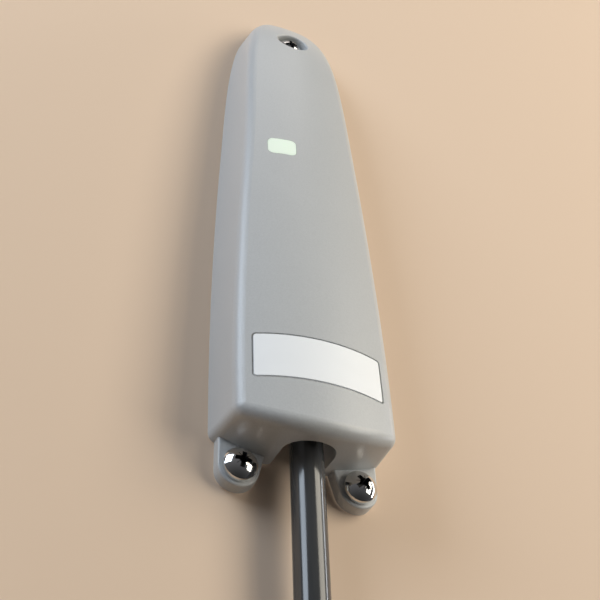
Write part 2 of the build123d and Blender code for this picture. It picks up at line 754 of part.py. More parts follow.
# each cell stands on its spring: the left one at the foot, the right one at the head
cell_ends = (
    ("left", -cell_spacing / 2, bay_foot + contact_thickness + spring_length, 0),
    ("right", cell_spacing / 2, bay_head - contact_thickness - spring_length, 180),
)
for name, x, start, turn in cell_ends:
    with BuildPart() as battery:
        with BuildSketch(Plane.XZ):
            with BuildLine():
                Polyline(
                    (0, 0),
                    (cell_radius - cell_round, 0),
                    (cell_radius, cell_round),
                    (cell_radius, cell_length - cell_round),
                    (cell_radius - cell_round, cell_length),
                    (nub_radius, cell_length),
                    (nub_radius, cell_length + nub_length - nub_round),
                    (nub_radius - nub_round, cell_length + nub_length),
                    (0, cell_length + nub_length),
                    close=True,
                )
            make_face()
        revolve(axis=Axis.Z)
    battery.part = battery.part.moved(Location((x, cell_y, start), (turn, 0, 0)))
    finish(battery, f"battery_{name}")


def cell_spring(x, base, rise):
    """A conical spring on a contact plate, wide at the plate, that reaches the cell."""
    wire_path = Helix(spring_rise / spring_turns, spring_rise, spring_wide, cone_angle=spring_cone)
    with BuildPart() as spring:
        with BuildSketch(Plane(origin=wire_path @ 0, z_dir=wire_path % 0)):
            Circle(spring_wire)
        sweep(path=wire_path, is_frenet=True)
    turn = 0 if rise > 0 else 180
    return spring.part.moved(Location((x, cell_y, base + rise * spring_wire), (turn, 0, 0)))


def contact_pads(xs, z):
    """Square contact plates at the given cells, z being the plate's lower face."""
    with BuildPart() as pads:
        with BuildSketch(Plane.XY.offset(z)):
            with Locations(*((x, cell_y) for x in xs)):
                RectangleRounded(contact_size, contact_size, contact_corner)
        extrude(amount=contact_thickness)
    return pads.part


left_x, right_x = -cell_spacing / 2, cell_spacing / 2
with BuildPart() as contact_bridge:
    add(contact_pads((left_x, right_x), bay_foot))
    with BuildSketch(Plane.XY.offset(bay_foot)):
        with Locations((0, (contact_strip_far + contact_strip_near) / 2)):
            Rectangle(cell_spacing + contact_size / 2, contact_strip_near - contact_strip_far)
    extrude(amount=contact_thickness)
    add(cell_spring(left_x, bay_foot + contact_thickness, 1))
finish(contact_bridge, "contact_bridge")

lug_start = cell_y + contact_size / 2 - contact_strip_near + contact_strip_far
for name, x in (("positive", left_x), ("negative", right_x)):
    with BuildPart() as contact:
        add(contact_pads((x,), bay_head - contact_thickness))
        # lug bent back over the end wall, where the lead is soldered
        with BuildSketch(Plane.YZ.offset(x)):
            with BuildLine():
                Polyline(
                    (lug_start, bay_head - contact_thickness),
                    (lug_near, bay_head - contact_thickness),
                    (lug_near, bay_head + lug_reach),
                    (lug_near - contact_thickness, bay_head + lug_reach),
                    (lug_near - contact_thickness, bay_head),
                    (lug_start, bay_head),
                    close=True,
                )
            make_face()
        extrude(amount=lug_width / 2, both=True)
        if name == "negative":
            add(cell_spring(x, bay_head - contact_thickness, -1))
    finish(contact, f"contact_{name}")


def wire(label, points, radius, bend):
    """A round wire through the given points, with equal bends."""
    with BuildPart() as strand:
        with BuildLine() as path:
            FilletPolyline(*points, radius=bend)
        with BuildSketch(Plane(origin=path.line @ 0, z_dir=path.line % 0)):
            Circle(radius)
        sweep()
    finish(strand, label)


wire(
    "battery_lead_red",
    [(left_x, lead_y, lead_bottom_z), (left_x, lead_y, lead_board_z), (left_x, board_rear_y, lead_board_z)],
    lead_radius,
    lead_bend,
)
wire(
    "battery_lead_black",
    [
        (right_x, lead_y, lead_bottom_z),
        (right_x, lead_y, lead_bottom_z + 2 * lead_bend),
        (black_lead_x, lead_y, lead_board_z - 3 * lead_bend),
        (black_lead_x, lead_y, lead_board_z),
        (black_lead_x, board_rear_y, lead_board_z),
    ],
    lead_radius,
    lead_bend,
)
# the signal wires leave the plug one above the other, and run down beside the holder one behind the other
wire_lane_x = cell_spacing / 2 + holder_radius + wire_lane_gap + wire_radius
for index, name in enumerate(("red", "black", "yellow")):
    offset = index * wire_pitch
    lane_y = wire_y + wire_lane_shift - offset
    wire(
        f"wire_{name}",
        [
            (plug_end, wire_y, wire_plug_z + offset),
            (plug_end + wire_lead_out, wire_y, wire_plug_z + offset),
            (wire_lane_x, lane_y, wire_plug_z + offset),
            (wire_lane_x, lane_y, wire_turn_z - offset),
            (offset - wire_pitch, lane_y, wire_turn_z - offset),
            (offset - wire_pitch, lane_y, sheath_end),
        ],
        wire_radius,
        wire_bend,
    )

# ---- Cable grommet in the notch ceiling, the sheathed cable end and its clamp ------------------------
with BuildPart() as cable_grommet:
    for radius, bottom, thickness in (
        (slot_radius + flange_rise, cable_exit, flange_thickness),
        (slot_radius, notch_top, ceiling_thickness),
        (slot_radius + flange_rise, compartment_foot, flange_thickness),
    ):
        with BuildSketch(Plane.XY.offset(bottom)):
            with Locations((0, cable_y)):
                Circle(radius)
                Rectangle(2 * radius, -cable_y, align=(Align.CENTER, Align.MIN))
        extrude(amount=thickness)
    with BuildSketch(Plane.XY.offset(cable_exit)):
        with Locations((0, ledge_y)):
            Rectangle(4 * slot_radius, depth, align=(Align.CENTER, Align.MIN))
        with Locations((0, cable_y)):
            Circle(cable_radius + fit_gap / 2)
    extrude(amount=ceiling_thickness + 2 * flange_thickness, mode=Mode.SUBTRACT)
finish(cable_grommet, "cable_grommet")

with BuildPart() as cable_tail:
    add(upright([(0, cable_y)], cable_radius, cable_exit, sheath_end))
finish(cable_tail, "cable_tail")

with BuildPart() as cable_clamp:
    with BuildSketch(Plane.XY.offset(clamp_foot)):
        with Locations((0, cable_y)):
            Circle(cable_radius + fit_gap + clamp_ring)
        with Locations((0, -clamp_seat)):
            Rectangle(2 * (clamp_screw_x + small_post_radius), clamp_bar, align=(Align.CENTER, Align.MIN))
        with Locations((0, -clamp_seat)):
            Rectangle(2 * half_width, depth, align=(Align.CENTER, Align.MAX), mode=Mode.SUBTRACT)
        with Locations((0, cable_y)):
            Circle(cable_radius + fit_gap, mode=Mode.SUBTRACT)
    extrude(amount=clamp_length)
    holes = pegs(clamp_screw_spots, small_screw_radius + fit_gap, clamp_seat - clamp_bar, clamp_bar)
    add(holes, mode=Mode.SUBTRACT)
finish(cable_clamp, "cable_clamp")

# ---- Free cable: straight down from the notch into a coil, and on to the soil probe -----------------


def cable_tube(label, points):
    """A round tube through the points, each arc as large as its two runs allow."""
    runs = [(Vector(*b) - Vector(*a)) for a, b in zip(points, points[1:])]
    turns = [radians(one.get_angle(other)) for one, other in zip(runs, runs[1:])]
    shorter = [min(one.length, other.length) for one, other in zip(runs, runs[1:])]
    radii = [bend_share * run / tan(turn / 2) for run, turn in zip(shorter, turns)]
    with BuildPart() as tube:
        with BuildLine() as path:
            FilletPolyline(*points, radius=radii)
        with BuildSketch(Plane(origin=path.line @ 0, z_dir=path.line % 0)):
            Circle(cable_radius)
        sweep()
    length = path.wire().length
    print(label, "radii", [round(radius) for radius in radii], "length", round(length, 1))
    print(label, "volume over section times length", round(tube.part.volume / (pi * cable_radius**2 * length), 4))
    finish(tube, label)


cable_tube(
    "probe_cable",
    [
        (0, cable_y, cable_exit),
        (0, cable_y, cable_bend_z),
        (0, coil_rear_y, cable_wall_z),
    ],
)
cable_tube(
    "probe_lead",
    [
        (0, coil_front_y, lead_out_z),
        (0, coil_front_y + small_step, (lead_out_z + boot_top) / 2),
        (0, coil_front_y, boot_top),
    ],
)

coil_near, coil_far = coil_rear_y + cable_radius, coil_front_y - cable_radius
coil_rim, coil_hollow = coil_outer_turn + cable_radius, coil_inner_turn - cable_radius
with BuildPart() as cable_coil:
    with BuildSketch(Plane.XY):
        with Locations(((coil_rim + coil_hollow) / 2, (coil_near + coil_far) / 2)):
            RectangleRounded(coil_rim - coil_hollow, coil_near - coil_far, coil_edge_round)
    revolve(axis=Axis.Y)
cable_coil.part = cable_coil.part.moved(Location((coil_x, 0, coil_drop)))
finish(cable_coil, "cable_coil")

with BuildPart() as coil_tie:
    for grow, mode in ((fit_gap + tie_thickness, Mode.ADD), (fit_gap, Mode.SUBTRACT)):
        with BuildSketch(Plane.XY.offset(coil_drop - tie_width / 2)):
            with Locations((coil_x + (coil_rim + coil_hollow) / 2, (coil_near + coil_far) / 2)):
                RectangleRounded(
                    coil_rim - coil_hollow + 2 * tie_slack + 2 * grow,
                    coil_near - coil_far + 2 * grow,
                    coil_edge_round + grow,
                )
        extrude(amount=tie_width, mode=mode)
finish(coil_tie, "coil_tie")

# ---- Soil probe on the far end: strain-relief boot, potted head and three steel prongs ----------------
with BuildPart() as probe_boot:
    with BuildSketch(Plane.XZ):
        with BuildLine():
            Polyline(
                (0, 0),
                (boot_top_radius, 0),
                (boot_radius, -boot_length),
                (0, -boot_length),
                close=True,
            )
        make_face()
        groove_pitch = boot_length / (boot_groove_count + 1)
        for index in range(boot_groove_count):
            with Locations((boot_radius, -groove_pitch * (index + 1))):
                Rectangle(2 * boot_groove_depth + boot_radius - boot_top_radius, boot_groove_width, mode=Mode.SUBTRACT)
    revolve(axis=Axis.Z)
probe_boot.part = probe_boot.part.moved(Location((0, coil_front_y, boot_top)))
finish(probe_boot, "probe_boot")

prong_spots = [(index * prong_pitch, coil_front_y) for index in (-1, 0, 1)]
with BuildPart() as probe_head:
    with BuildSketch(Plane.XY.offset(head_bottom)):
        with Locations((0, coil_front_y)):
            RectangleRounded(probe_width, probe_thickness, probe_corner)
    extrude(amount=probe_length)
    fillet(probe_head.edges().group_by(Axis.Z)[-1], probe_edge_fillet)
    fillet(probe_head.edges().group_by(Axis.Z)[0], probe_edge_fillet)
    add(upright(prong_spots, prong_radius, head_bottom, head_bottom + prong_seat), mode=Mode.SUBTRACT)
finish(probe_head, "probe_head")

with BuildPart() as probe_prongs:
    with BuildSketch(Plane.XZ):
        with BuildLine():
            Polyline(
                (0, prong_seat),
                (prong_radius, prong_seat),
                (prong_radius, prong_seat + prong_point - prong_length),
                (0, prong_seat - prong_length),
                close=True,
            )
        make_face()
    revolve(axis=Axis.Z)
one_prong = probe_prongs.part
probe_prongs.part = Part() + [one_prong.moved(Location((x, y, head_bottom))) for x, y in prong_spots]
finish(probe_prongs, "probe_prongs")
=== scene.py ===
"""Looks of a wall-mounted soil moisture sensor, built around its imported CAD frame.

Everything is in metres, in the CAD's frame: the origin is where the top wall screw meets the wall,
+X is to the right as one faces the sensor, +Y goes into the wall and +Z is up.
"""

import json
import math

import bmesh
import bpy
from mathutils import Euler, Matrix, Vector


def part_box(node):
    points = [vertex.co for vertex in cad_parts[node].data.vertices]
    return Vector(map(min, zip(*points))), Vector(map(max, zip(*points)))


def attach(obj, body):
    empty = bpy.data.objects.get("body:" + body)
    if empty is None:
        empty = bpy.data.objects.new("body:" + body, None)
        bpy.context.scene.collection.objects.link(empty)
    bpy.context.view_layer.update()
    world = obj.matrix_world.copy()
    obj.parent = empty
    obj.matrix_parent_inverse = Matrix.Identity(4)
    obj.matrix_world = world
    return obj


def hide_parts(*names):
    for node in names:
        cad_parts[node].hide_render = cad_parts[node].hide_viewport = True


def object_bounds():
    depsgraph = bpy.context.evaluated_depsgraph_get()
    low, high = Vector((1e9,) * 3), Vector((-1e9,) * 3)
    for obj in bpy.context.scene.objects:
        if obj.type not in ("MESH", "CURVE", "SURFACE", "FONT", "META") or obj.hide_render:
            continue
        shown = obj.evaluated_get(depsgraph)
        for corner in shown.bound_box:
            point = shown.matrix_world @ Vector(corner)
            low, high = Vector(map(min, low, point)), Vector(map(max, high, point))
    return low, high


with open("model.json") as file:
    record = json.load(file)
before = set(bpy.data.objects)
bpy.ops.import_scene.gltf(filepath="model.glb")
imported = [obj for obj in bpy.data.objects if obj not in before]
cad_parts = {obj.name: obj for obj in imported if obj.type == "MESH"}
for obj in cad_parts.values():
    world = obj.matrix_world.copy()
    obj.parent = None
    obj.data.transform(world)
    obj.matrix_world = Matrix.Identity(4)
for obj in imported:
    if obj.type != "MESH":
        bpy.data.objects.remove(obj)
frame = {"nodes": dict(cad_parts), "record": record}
nodes = frame["nodes"]
cad_box = [list(corner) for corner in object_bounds()]
scene = bpy.context.scene
scene.view_settings.view_transform = "Standard"


def centre_of(node):
    """The middle of a CAD node's box."""
    low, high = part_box(node)
    return (low + high) / 2


# ---- Camera -------------------------------------------------------------------------------------
# It stands low and to the left, close under the sensor, and looks up at it.
camera_place = Vector((-0.08138, -0.19383, -0.28909))
camera_azimuth = math.radians(23.62)     # 0 looks along +Y, positive turns to the right
camera_elevation = math.radians(41.94)
camera_roll = math.radians(2.58)
camera_angle = math.radians(30.97)       # across the square frame

camera_data = bpy.data.cameras.new("camera")
camera_data.angle = camera_angle
camera_data.clip_start = 0.01
camera = bpy.data.objects.new("camera", camera_data)
scene.collection.objects.link(camera)
turn = Euler((math.pi / 2 + camera_elevation, 0, -camera_azimuth)).to_matrix()
camera.matrix_world = (turn @ Matrix.Rotation(-camera_roll, 3, "Z")).to_4x4()
camera.location = camera_place
scene.camera = camera


# ---- Materials ----------------------------------------------------------------------------------
class Finish:
    """A procedural material: one Principled shader, with patterns in the part's own frame."""

    def __init__(self, name, colour, roughness, **sockets):
        self.material = bpy.data.materials.new(name)
        self.material.use_nodes = True
        self.tree = self.material.node_tree
        self.shader = self.tree.nodes["Principled BSDF"]
        self.shader.inputs["Base Color"].default_value = (*colour, 1)
        self.shader.inputs["Roughness"].default_value = roughness
        for socket, value in sockets.items():
            self.shader.inputs[socket.replace("_", " ")].default_value = value
        self.place = self.add("ShaderNodeTexCoord").outputs["Object"]

    def add(self, kind, inputs=None, **settings):
        """A new node, with its settings, and its inputs by name: values, or sockets to link."""
        node = self.tree.nodes.new(kind)
        for setting, value in settings.items():
            setattr(node, setting, value)
        for socket, value in (inputs or {}).items():
            if isinstance(value, bpy.types.NodeSocket):
                self.tree.links.new(value, node.inputs[socket])
            else:
                node.inputs[socket].default_value = value
        return node

    def stretched(self, stretch):
        """The place, scaled along each axis."""
        return self.add("ShaderNodeVectorMath", {0: self.place, 1: stretch}, operation="MULTIPLY").outputs[0]

    def noise(self, size, detail=2.0, stretch=(1, 1, 1)):
        """Noise from 0 to 1, its blobs about this size in metres."""
        inputs = {"Vector": self.stretched(stretch), "Scale": 1 / size, "Detail": detail}
        return self.add("ShaderNodeTexNoise", inputs).outputs["Fac"]

    def cells(self, size, stretch, feature="F1"):
        """The distance in a cell pattern of about this size in metres."""
        inputs = {"Vector": self.stretched(stretch), "Scale": 1 / size}
        return self.add("ShaderNodeTexVoronoi", inputs, feature=feature).outputs["Distance"]

    def along(self, axis, low, high):
        """0 where the axis is at low, 1 where it is at high, clamped."""
        parts = self.add("ShaderNodeSeparateXYZ", {"Vector": self.place})
        return self.ranged(parts.outputs[axis], low, high, 0, 1)

    def ranged(self, value, low, high, new_low, new_high):
        """The value, moved from low and high to new_low and new_high, clamped."""
        inputs = {"Value": value, "From Min": low, "From Max": high, "To Min": new_low, "To Max": new_high}
        return self.add("ShaderNodeMapRange", inputs).outputs[0]

    def math(self, operation, first, second):
        """One step of arithmetic on two values or sockets."""
        return self.add("ShaderNodeMath", {0: first, 1: second}, operation=operation).outputs[0]

    def mixed(self, share, first, second):
        """A colour from first to second. Both are colours or colour sockets (the node's 6 and 7)."""
        node = self.add("ShaderNodeMix", data_type="RGBA")
        self.put(share, node.inputs[0])
        self.put(first, node.inputs[6])
        self.put(second, node.inputs[7])
        return node.outputs[2]

    def put(self, value, socket):
        """Links a socket, or sets a colour or a number."""
        if isinstance(value, bpy.types.NodeSocket):
            self.tree.links.new(value, socket)
        elif isinstance(value, tuple):
            socket.default_value = (*value, 1)
        else:
            socket.default_value = value

    def colour(self, value):
        """The shader's colour."""
        self.put(value, self.shader.inputs["Base Color"])
        return self

    def shaded(self, value, low, high, colour, dark, light):
        """The colour from its dark to its light shade, as the value goes from low to high."""
        return self.mixed(self.ranged(value, low, high, 0, 1), shade(colour, dark), shade(colour, light))

    def rough(self, value, low, high):
        """Roughness that follows a noise's middle range from low to high."""
        self.put(self.ranged(value, 0.3, 0.7, low, high), self.shader.inputs["Roughness"])
        return self

    def bump(self, value, height):
        """Relief of this height in metres."""
        inputs = {"Height": value, "Distance": height, "Strength": 1.0}
        node = self.add("ShaderNodeBump", inputs)
        last = self.shader.inputs["Normal"]
        if last.is_linked:
            self.tree.links.new(last.links[0].from_socket, node.inputs["Normal"])
        self.tree.links.new(node.outputs[0], last)
        return self


def shade(colour, factor):
    """The colour made lighter or darker by a factor."""
    return tuple(min(1.0, channel * factor) for channel in colour)


def moulded(name, colour, roughness, grain=0.00042, relief=0.00001, contrast=0.05, **sockets):
    """Spark-textured moulded plastic: fine grain in colour, gloss and relief, and slow mottling."""
    finish = Finish(name, colour, roughness, **sockets)
    fine = finish.noise(grain, 3.0)
    slow = finish.noise(0.018, 2.0)
    toned = finish.shaded(slow, 0.35, 0.65, colour, 0.985, 1.015)
    speck = finish.shaded(fine, 0.3, 0.7, colour, 1 - contrast, 1 + contrast)
    finish.colour(finish.mixed(0.5, toned, speck))
    finish.rough(fine, roughness - 0.05, roughness + 0.06)
    finish.bump(fine, relief)
    return finish


def metal(name, colour, roughness, grain=0.0006, stretch=(1, 1, 1), relief=0.000002):
    """Metal with fine drawn or tumbled marks and slight stains."""
    finish = Finish(name, colour, roughness, Metallic=1.0)
    marks = finish.noise(grain, 3.0, stretch)
    stains = finish.noise(0.006, 2.0)
    finish.colour(finish.shaded(stains, 0.35, 0.65, colour, 0.94, 1.04))
    finish.rough(marks, roughness * 0.8, roughness * 1.3)
    finish.bump(marks, relief)
    return finish


def screw_metal():
    """Polished plating, with painted shade in the driver's recess: dark, matt and not metallic where the
    "recess" attribute marks it.
    """
    finish = metal("screw_steel", (0.80, 0.79, 0.77), 0.085, 0.0009)
    inputs = finish.shader.inputs
    recess = finish.add("ShaderNodeAttribute", attribute_name="recess").outputs["Fac"]
    # painted shade: the recess faces turn nearly black, matt and not metallic, in place of the shade inside
    # the recess
    finish.colour(finish.mixed(recess, inputs["Base Color"].links[0].from_socket, (0.010, 0.010, 0.011)))
    finish.put(finish.math("SUBTRACT", 1.0, recess), inputs["Metallic"])
    gloss = inputs["Roughness"].links[0].from_socket
    finish.put(finish.math("MAXIMUM", gloss, finish.math("MULTIPLY", recess, 0.6)), inputs["Roughness"])
    return finish


def rubber(name, colour, roughness=0.62):
    """Matt rubber with a fine bloom."""
    finish = Finish(name, colour, roughness, Specular_IOR_Level=0.35)
    bloom = finish.noise(0.0009, 4.0)
    finish.colour(finish.shaded(bloom, 0.35, 0.7, colour, 0.85, 1.3))
    finish.rough(bloom, roughness - 0.08, roughness + 0.08)
    finish.bump(bloom, 0.00001)
    return finish


def insulation(name, colour):
    """Thin, slightly glossy wire insulation."""
    finish = Finish(name, colour, 0.35)
    print_marks = finish.noise(0.0012, 2.0, (1, 1, 0.3))
    finish.colour(finish.shaded(print_marks, 0.35, 0.65, colour, 0.9, 1.1))
    finish.rough(print_marks, 0.3, 0.42)
    finish.bump(print_marks, 0.000008)
    return finish


def jacket():
    """Glossy, nearly black cable sheath with faint long drawing marks."""
    colour = (0.046, 0.047, 0.048)
    finish = Finish("cable_jacket", colour, 0.16, Specular_IOR_Level=0.62)
    drawn = finish.noise(0.0008, 3.0, (1, 1, 0.06))
    waves = finish.noise(0.010, 2.0, (1, 1, 0.5))
    finish.colour(finish.shaded(drawn, 0.3, 0.7, colour, 0.93, 1.07))
    finish.rough(waves, 0.12, 0.19)
    finish.bump(drawn, 0.0000035)
    return finish


def lens():
    """Milky pale green window with a painted glow: it emits faintly, and its colour is painted lighter over
    the lamp behind it.
    """
    glow = (0.80, 0.90, 0.77)
    lamp = centre_of("status_led")
    finish = Finish("lens_plastic", glow, 0.32, Subsurface_Weight=0.25, Subsurface_Scale=0.002)
    finish.shader.inputs["Subsurface Radius"].default_value = (0.8, 1.0, 0.7)
    from_lamp = finish.add("ShaderNodeVectorMath", {0: finish.place, 1: lamp}, operation="DISTANCE")
    reach = from_lamp.outputs["Value"]
    # painted light: the colour grows lighter towards the lamp behind, from 16 mm away to 4 mm
    painted_glow_share = finish.ranged(reach, 0.004, 0.016, 1, 0)
    fine = finish.noise(0.0005, 2.0)
    finish.colour(finish.mixed(painted_glow_share, (0.78, 0.88, 0.74), glow))
    # painted glow: the window itself emits faintly, though it is no lamp
    finish.shader.inputs["Emission Color"].default_value = (0.86, 1.0, 0.78, 1)
    finish.shader.inputs["Emission Strength"].default_value = 0.12
    finish.rough(fine, 0.28, 0.36)
    finish.bump(fine, 0.000003)
    return finish


def label_film():
    """Blank satin film with a faint orange-peel surface."""
    colour = (0.90, 0.91, 0.915)
    finish = Finish("label_film", colour, 0.42, Specular_IOR_Level=0.45)
    peel = finish.noise(0.0007, 2.0)
    slow = finish.noise(0.012, 2.0)
    finish.colour(finish.shaded(slow, 0.35, 0.65, colour, 0.985, 1.01))
    finish.rough(peel, 0.38, 0.46)
    finish.bump(peel, 0.000004)
    return finish


def laminate():
    """Green solder mask over copper tracks, with tinned vias."""
    mask, track, via = (0.012, 0.085, 0.035), (0.02, 0.17, 0.065), (0.55, 0.53, 0.50)
    finish = Finish("board_laminate", mask, 0.32, Coat_Weight=0.25, Coat_Roughness=0.2)
    edges = finish.cells(0.0042, (1, 0.02, 1), "DISTANCE_TO_EDGE")
    lines = finish.ranged(edges, 0.045, 0.075, 1, 0)
    islands = finish.ranged(finish.noise(0.006, 0.0, (1, 0.02, 1)), 0.55, 0.57, 0, 1)
    copper = finish.math("MAXIMUM", lines, islands)
    spots = finish.ranged(finish.cells(0.0023, (1, 0.02, 1)), 0.10, 0.13, 1, 0)
    weave = finish.noise(0.0004, 2.0)
    finish.colour(finish.mixed(spots, finish.mixed(copper, mask, track), via))
    finish.rough(weave, 0.26, 0.38)
    finish.bump(copper, 0.00003)
    return finish


def capacitor_sleeve():
    """Shrunk dark sleeve with a pale polarity band, open over a bare metal top."""
    low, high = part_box("storage_capacitor")
    middle = (low + high) / 2
    radius = (high.x - low.x) / 2
    blue = (0.02, 0.03, 0.06)
    finish = Finish("capacitor_sleeve", blue, 0.35)
    band = finish.along("X", middle.x + 0.55 * radius, middle.x + 0.6 * radius)
    wave = finish.noise(0.0015, 2.0)
    top = finish.along("Z", high.z - 0.0002, high.z - 0.0001)
    sleeve = finish.mixed(band, blue, (0.55, 0.57, 0.60))
    finish.colour(finish.mixed(top, sleeve, (0.75, 0.75, 0.74)))
    finish.put(top, finish.shader.inputs["Metallic"])
    finish.rough(wave, 0.28, 0.42)
    finish.bump(wave, 0.00001)
    return finish


def cell_sleeve(node, positive_up):
    """A cell's printed sleeve: dark body, coppery band at the positive end and bare metal ends."""
    low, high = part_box(node)
    finish = Finish(f"sleeve_{node}", (0.03, 0.05, 0.09), 0.28, Coat_Weight=0.3, Coat_Roughness=0.12)
    up = finish.along("Z", low.z, high.z)
    length = up if positive_up else finish.math("SUBTRACT", 1.0, up)
    band = finish.ranged(length, 0.735, 0.74, 0, 1)
    ring_start = finish.ranged(length, 0.715, 0.718, 0, 1)
    ring_end = finish.ranged(length, 0.728, 0.731, 1, 0)
    ring = finish.math("MULTIPLY", ring_start, ring_end)
    positive_end = finish.ranged(length, 0.957, 0.958, 0, 1)
    negative_end = finish.ranged(length, 0.014, 0.015, 1, 0)
    bare = finish.math("MAXIMUM", positive_end, negative_end)
    scuffs = finish.noise(0.0012, 3.0)
    body = finish.mixed(finish.ranged(scuffs, 0.3, 0.7, 0, 1), (0.027, 0.045, 0.085), (0.036, 0.057, 0.10))
    painted = finish.mixed(ring, finish.mixed(band, body, (0.50, 0.24, 0.10)), (0.60, 0.60, 0.58))
    finish.colour(finish.mixed(bare, painted, (0.70, 0.69, 0.67)))
    coppery = finish.math("MULTIPLY", band, 0.85)
    finish.put(finish.math("MAXIMUM", bare, coppery), finish.shader.inputs["Metallic"])
    finish.rough(scuffs, 0.22, 0.34)
    finish.bump(scuffs, 0.000004)
    return finish


def phosphor():
    """Lamp package: pale case with a yellow phosphor well."""
    middle = centre_of("status_led")
    pale = (0.82, 0.80, 0.74)
    finish = Finish("led_body", pale, 0.4)
    flat = finish.stretched((1, 0, 1))
    ends = {0: flat, 1: (middle.x, 0, middle.z)}
    from_middle = finish.add("ShaderNodeVectorMath", ends, operation="DISTANCE")
    well = finish.ranged(from_middle.outputs["Value"], 0.0011, 0.0012, 1, 0)
    finish.colour(finish.mixed(well, pale, (0.85, 0.72, 0.16)))
    finish.bump(finish.noise(0.0004, 2.0), 0.000004)
    return finish


finishes = {
    "housing_plastic": moulded(
        "housing_plastic", (0.495, 0.50, 0.497), 0.33, relief=0.000016, contrast=0.075
    ),
    "cover_plastic": moulded("cover_plastic", (0.45, 0.455, 0.45), 0.48),
    "seal_rubber": rubber("seal_rubber", (0.035, 0.035, 0.037)),
    "screw_steel": screw_metal(),
    "small_screw_steel": metal("small_screw_steel", (0.62, 0.62, 0.60), 0.26),
    "lens_plastic": lens(),
    "led_body": phosphor(),
    "label_film": label_film(),
    "board_laminate": laminate(),
    "shield_tin": metal("shield_tin", (0.66, 0.66, 0.64), 0.34, 0.0012),
    "chip_epoxy": moulded("chip_epoxy", (0.018, 0.018, 0.02), 0.5, 0.0003, 0.000006, 0.2),
    "antenna_copper": metal("antenna_copper", (0.85, 0.46, 0.28), 0.22),
    "capacitor_sleeve": capacitor_sleeve(),
    "header_plastic": moulded("header_plastic", (0.72, 0.69, 0.60), 0.45, 0.0004, 0.000004, 0.03),
    "wire_red": insulation("wire_red", (0.50, 0.02, 0.015)),
    "wire_black": insulation("wire_black", (0.02, 0.02, 0.022)),
    "wire_yellow": insulation("wire_yellow", (0.72, 0.48, 0.03)),
    "holder_plastic": moulded("holder_plastic", (0.028, 0.028, 0.03), 0.45, 0.0005, 0.000012, 0.15),
    "contact_metal": metal("contact_metal", (0.70, 0.68, 0.62), 0.24),
    "clamp_plastic": moulded("clamp_plastic", (0.11, 0.11, 0.112), 0.42, 0.0005, 0.00001, 0.08),
    "cable_jacket": jacket(),
    "boot_rubber": rubber("boot_rubber", (0.028, 0.028, 0.03), 0.5),
    "probe_plastic": moulded("probe_plastic", (0.04, 0.041, 0.043), 0.38, 0.0006, 0.000012, 0.12),
    "prong_steel": metal("prong_steel", (0.66, 0.65, 0.63), 0.2, 0.0008, (1, 1, 0.05)),
}
own_finishes = {
    "battery_left": cell_sleeve("battery_left", True),
    "battery_right": cell_sleeve("battery_right", False),
}
slot_of_node = {part["node"]: part["material_slot"] for part in frame["record"]["subparts"]}


def finish_of(node):
    """The material of a CAD node: its own, or its slot's."""
    own = own_finishes.get(node)
    return (own or finishes[slot_of_node[node]]).material


for name, node in nodes.items():
    for slot in node.material_slots:
        slot.material = finish_of(name)


# ---- Meshes -------------------------------------------------------------------------------------
sharp_angle = math.radians(35)


def piece(name, mesh, slot, body):
    """A visible piece from a mesh, smooth between its sharp edges, riding on its body."""
    work = bmesh.new()
    work.from_mesh(mesh)
    bmesh.ops.recalc_face_normals(work, faces=work.faces)
    for face in work.faces:
        face.smooth = True
    for edge in work.edges:
        edge.smooth = len(edge.link_faces) == 2 and edge.calc_face_angle(0.0) < sharp_angle
    work.to_mesh(mesh)
    work.free()
    made = bpy.data.objects.new(name, mesh)
    scene.collection.objects.link(made)
    made.data.materials.clear()
    made.data.materials.append(finishes[slot].material)
    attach(made, body)
    return made


# ---- Wall screws: pan heads with a crossed recess, and a thread cut round the shank --------------
around = 72                  # faces round a screw
dome_steps = 14              # rings of faces in the domed head
thread_steps = 10            # rows of faces along one turn of thread
thread_pitch = 0.0016
thread_core = 0.00155
crest_share = 0.12           # of the pitch that the thread's crest takes
flank_share = 0.30           # of the pitch that each flank takes
thread_run_out = 0.0015      # over which the thread rises and fades
head_height = 0.0036
rim_height = 0.0017
seat_radius = 0.0037         # of the flat under the head, inside its rounded rim
neck_radius = 0.0019
thread_radius = 0.0021
screw_point = 0.004
point_radius = 0.0002
slot_width, slot_span, slot_depth = 0.0012, 0.0054, 0.0022
slot_foot_share = 0.45       # of the slots' span at their bottom
pit_share = 0.44             # of the slots' span that the pit at their crossing takes
side_taper = 0.4             # of a cutter's narrowing along its span that its width follows
tick_width, tick_start, tick_end, tick_depth = 0.00016, 0.0005, 0.0021, 0.00045
tick_foot_share = 0.8        # of the ticks' span at their bottom
cutter_rise = 0.001          # of the cutters over the head's top
dome_inset = 0.0001          # of the dome's edge from the rim
edge_round_depth = 0.00012   # from the dome's edge down to the rim
seat_round_depth = 0.00025   # from the rim down to the seat
plain_shank = 0.0045         # under the head, before the thread
recess_margin = 0.00003      # under the dome's surface, from which a face belongs to the recess
recess_slack = 0.0001        # under the slots' bottom, down to which it still does
merge_distance = 0.0000015   # under which two points of a screw are one
sliver_length = 0.000001     # under which an edge of a screw is dissolved


def dome_sphere(radius):
    """The radius of the sphere that a dome of this radius belongs to."""
    rise = head_height - rim_height
    return (radius**2 + rise**2) / (2 * rise)


def dome(radius):
    """(radius, depth) points of the domed head from its middle to its rim, depth from the top."""
    sphere = dome_sphere(radius)
    widest = math.asin(radius / sphere)
    angles = [widest * (step + 1) / dome_steps for step in range(dome_steps)]
    return [(sphere * math.sin(angle), sphere * (1 - math.cos(angle))) for angle in angles]


